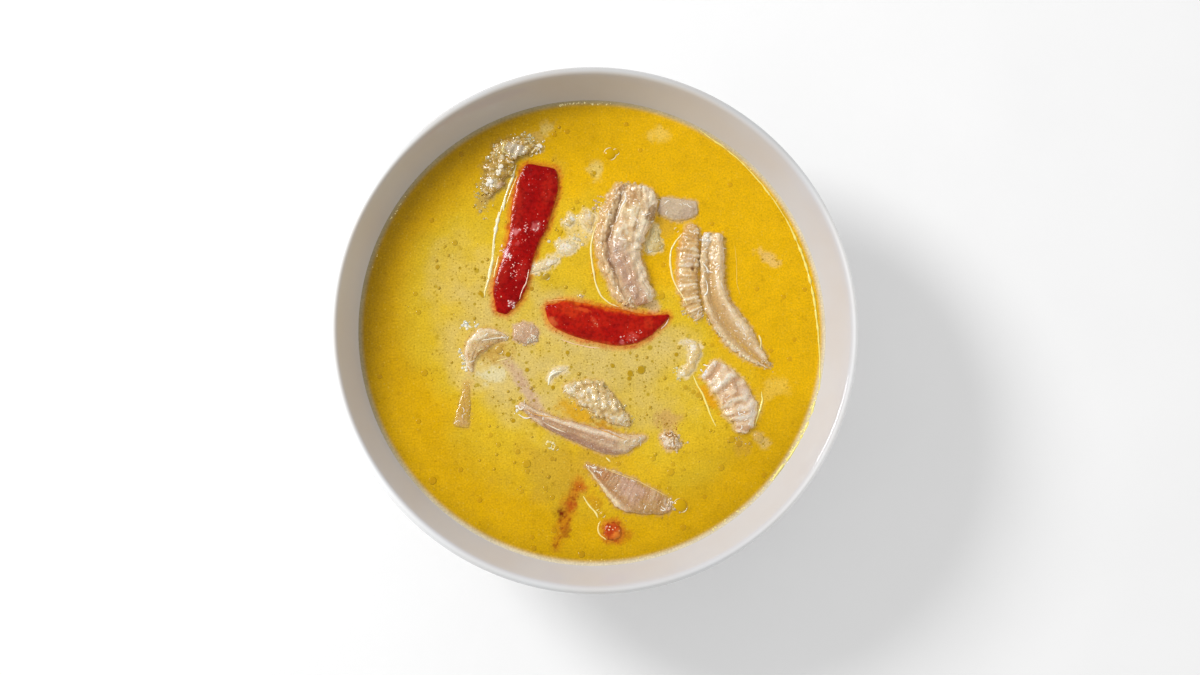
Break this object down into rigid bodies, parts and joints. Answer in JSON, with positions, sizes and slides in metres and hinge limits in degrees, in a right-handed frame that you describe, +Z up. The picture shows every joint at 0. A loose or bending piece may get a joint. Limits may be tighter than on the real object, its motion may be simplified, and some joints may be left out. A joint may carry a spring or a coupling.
{
  "type": "bowl of tripe soup",
  "caption": "White glazed bowl filled with golden, creamy tripe soup, with strips of red pepper and pieces of tripe floating at its surface.",
  "frame": {"origin": "centre of the foot ring, on the surface that the bowl stands on", "axes": "+Z up through the open top of the bowl, +X to the right and +Y to the top of the pictured view"},
  "size_m": [0.176, 0.176, 0.057],
  "materials": {
    "porcelain": "white gloss glaze",
    "broth": "wet golden broth with a creamy cloud and oil drops",
    "pepper": "wet cooked red pepper",
    "tripe": "wet cooked tripe, beige to mauve"
  },
  "bodies": {
    "root": {"bowl": "porcelain", "soup": "broth", "pepper_long": "pepper", "pepper_short": "pepper", "pepper_bit": "pepper", "tripe_folded": "tripe", "tripe_lobe": "tripe", "tripe_chip": "tripe", "tripe_tag": "tripe", "tripe_ribbed": "tripe", "tripe_trough": "tripe", "tripe_block": "tripe", "tripe_lump": "tripe", "tripe_curl": "tripe", "tripe_long": "tripe", "tripe_honeycomb": "tripe", "tripe_shred": "tripe", "tripe_wedge": "tripe", "tripe_bent": "tripe", "tripe_tail": "tripe", "tripe_scrap": "tripe", "tripe_frilly": "tripe", "tripe_crumb": "tripe", "tripe_sliver": "tripe", "tripe_flake": "tripe", "tripe_nub": "tripe"}
  },
  "joints": []
}
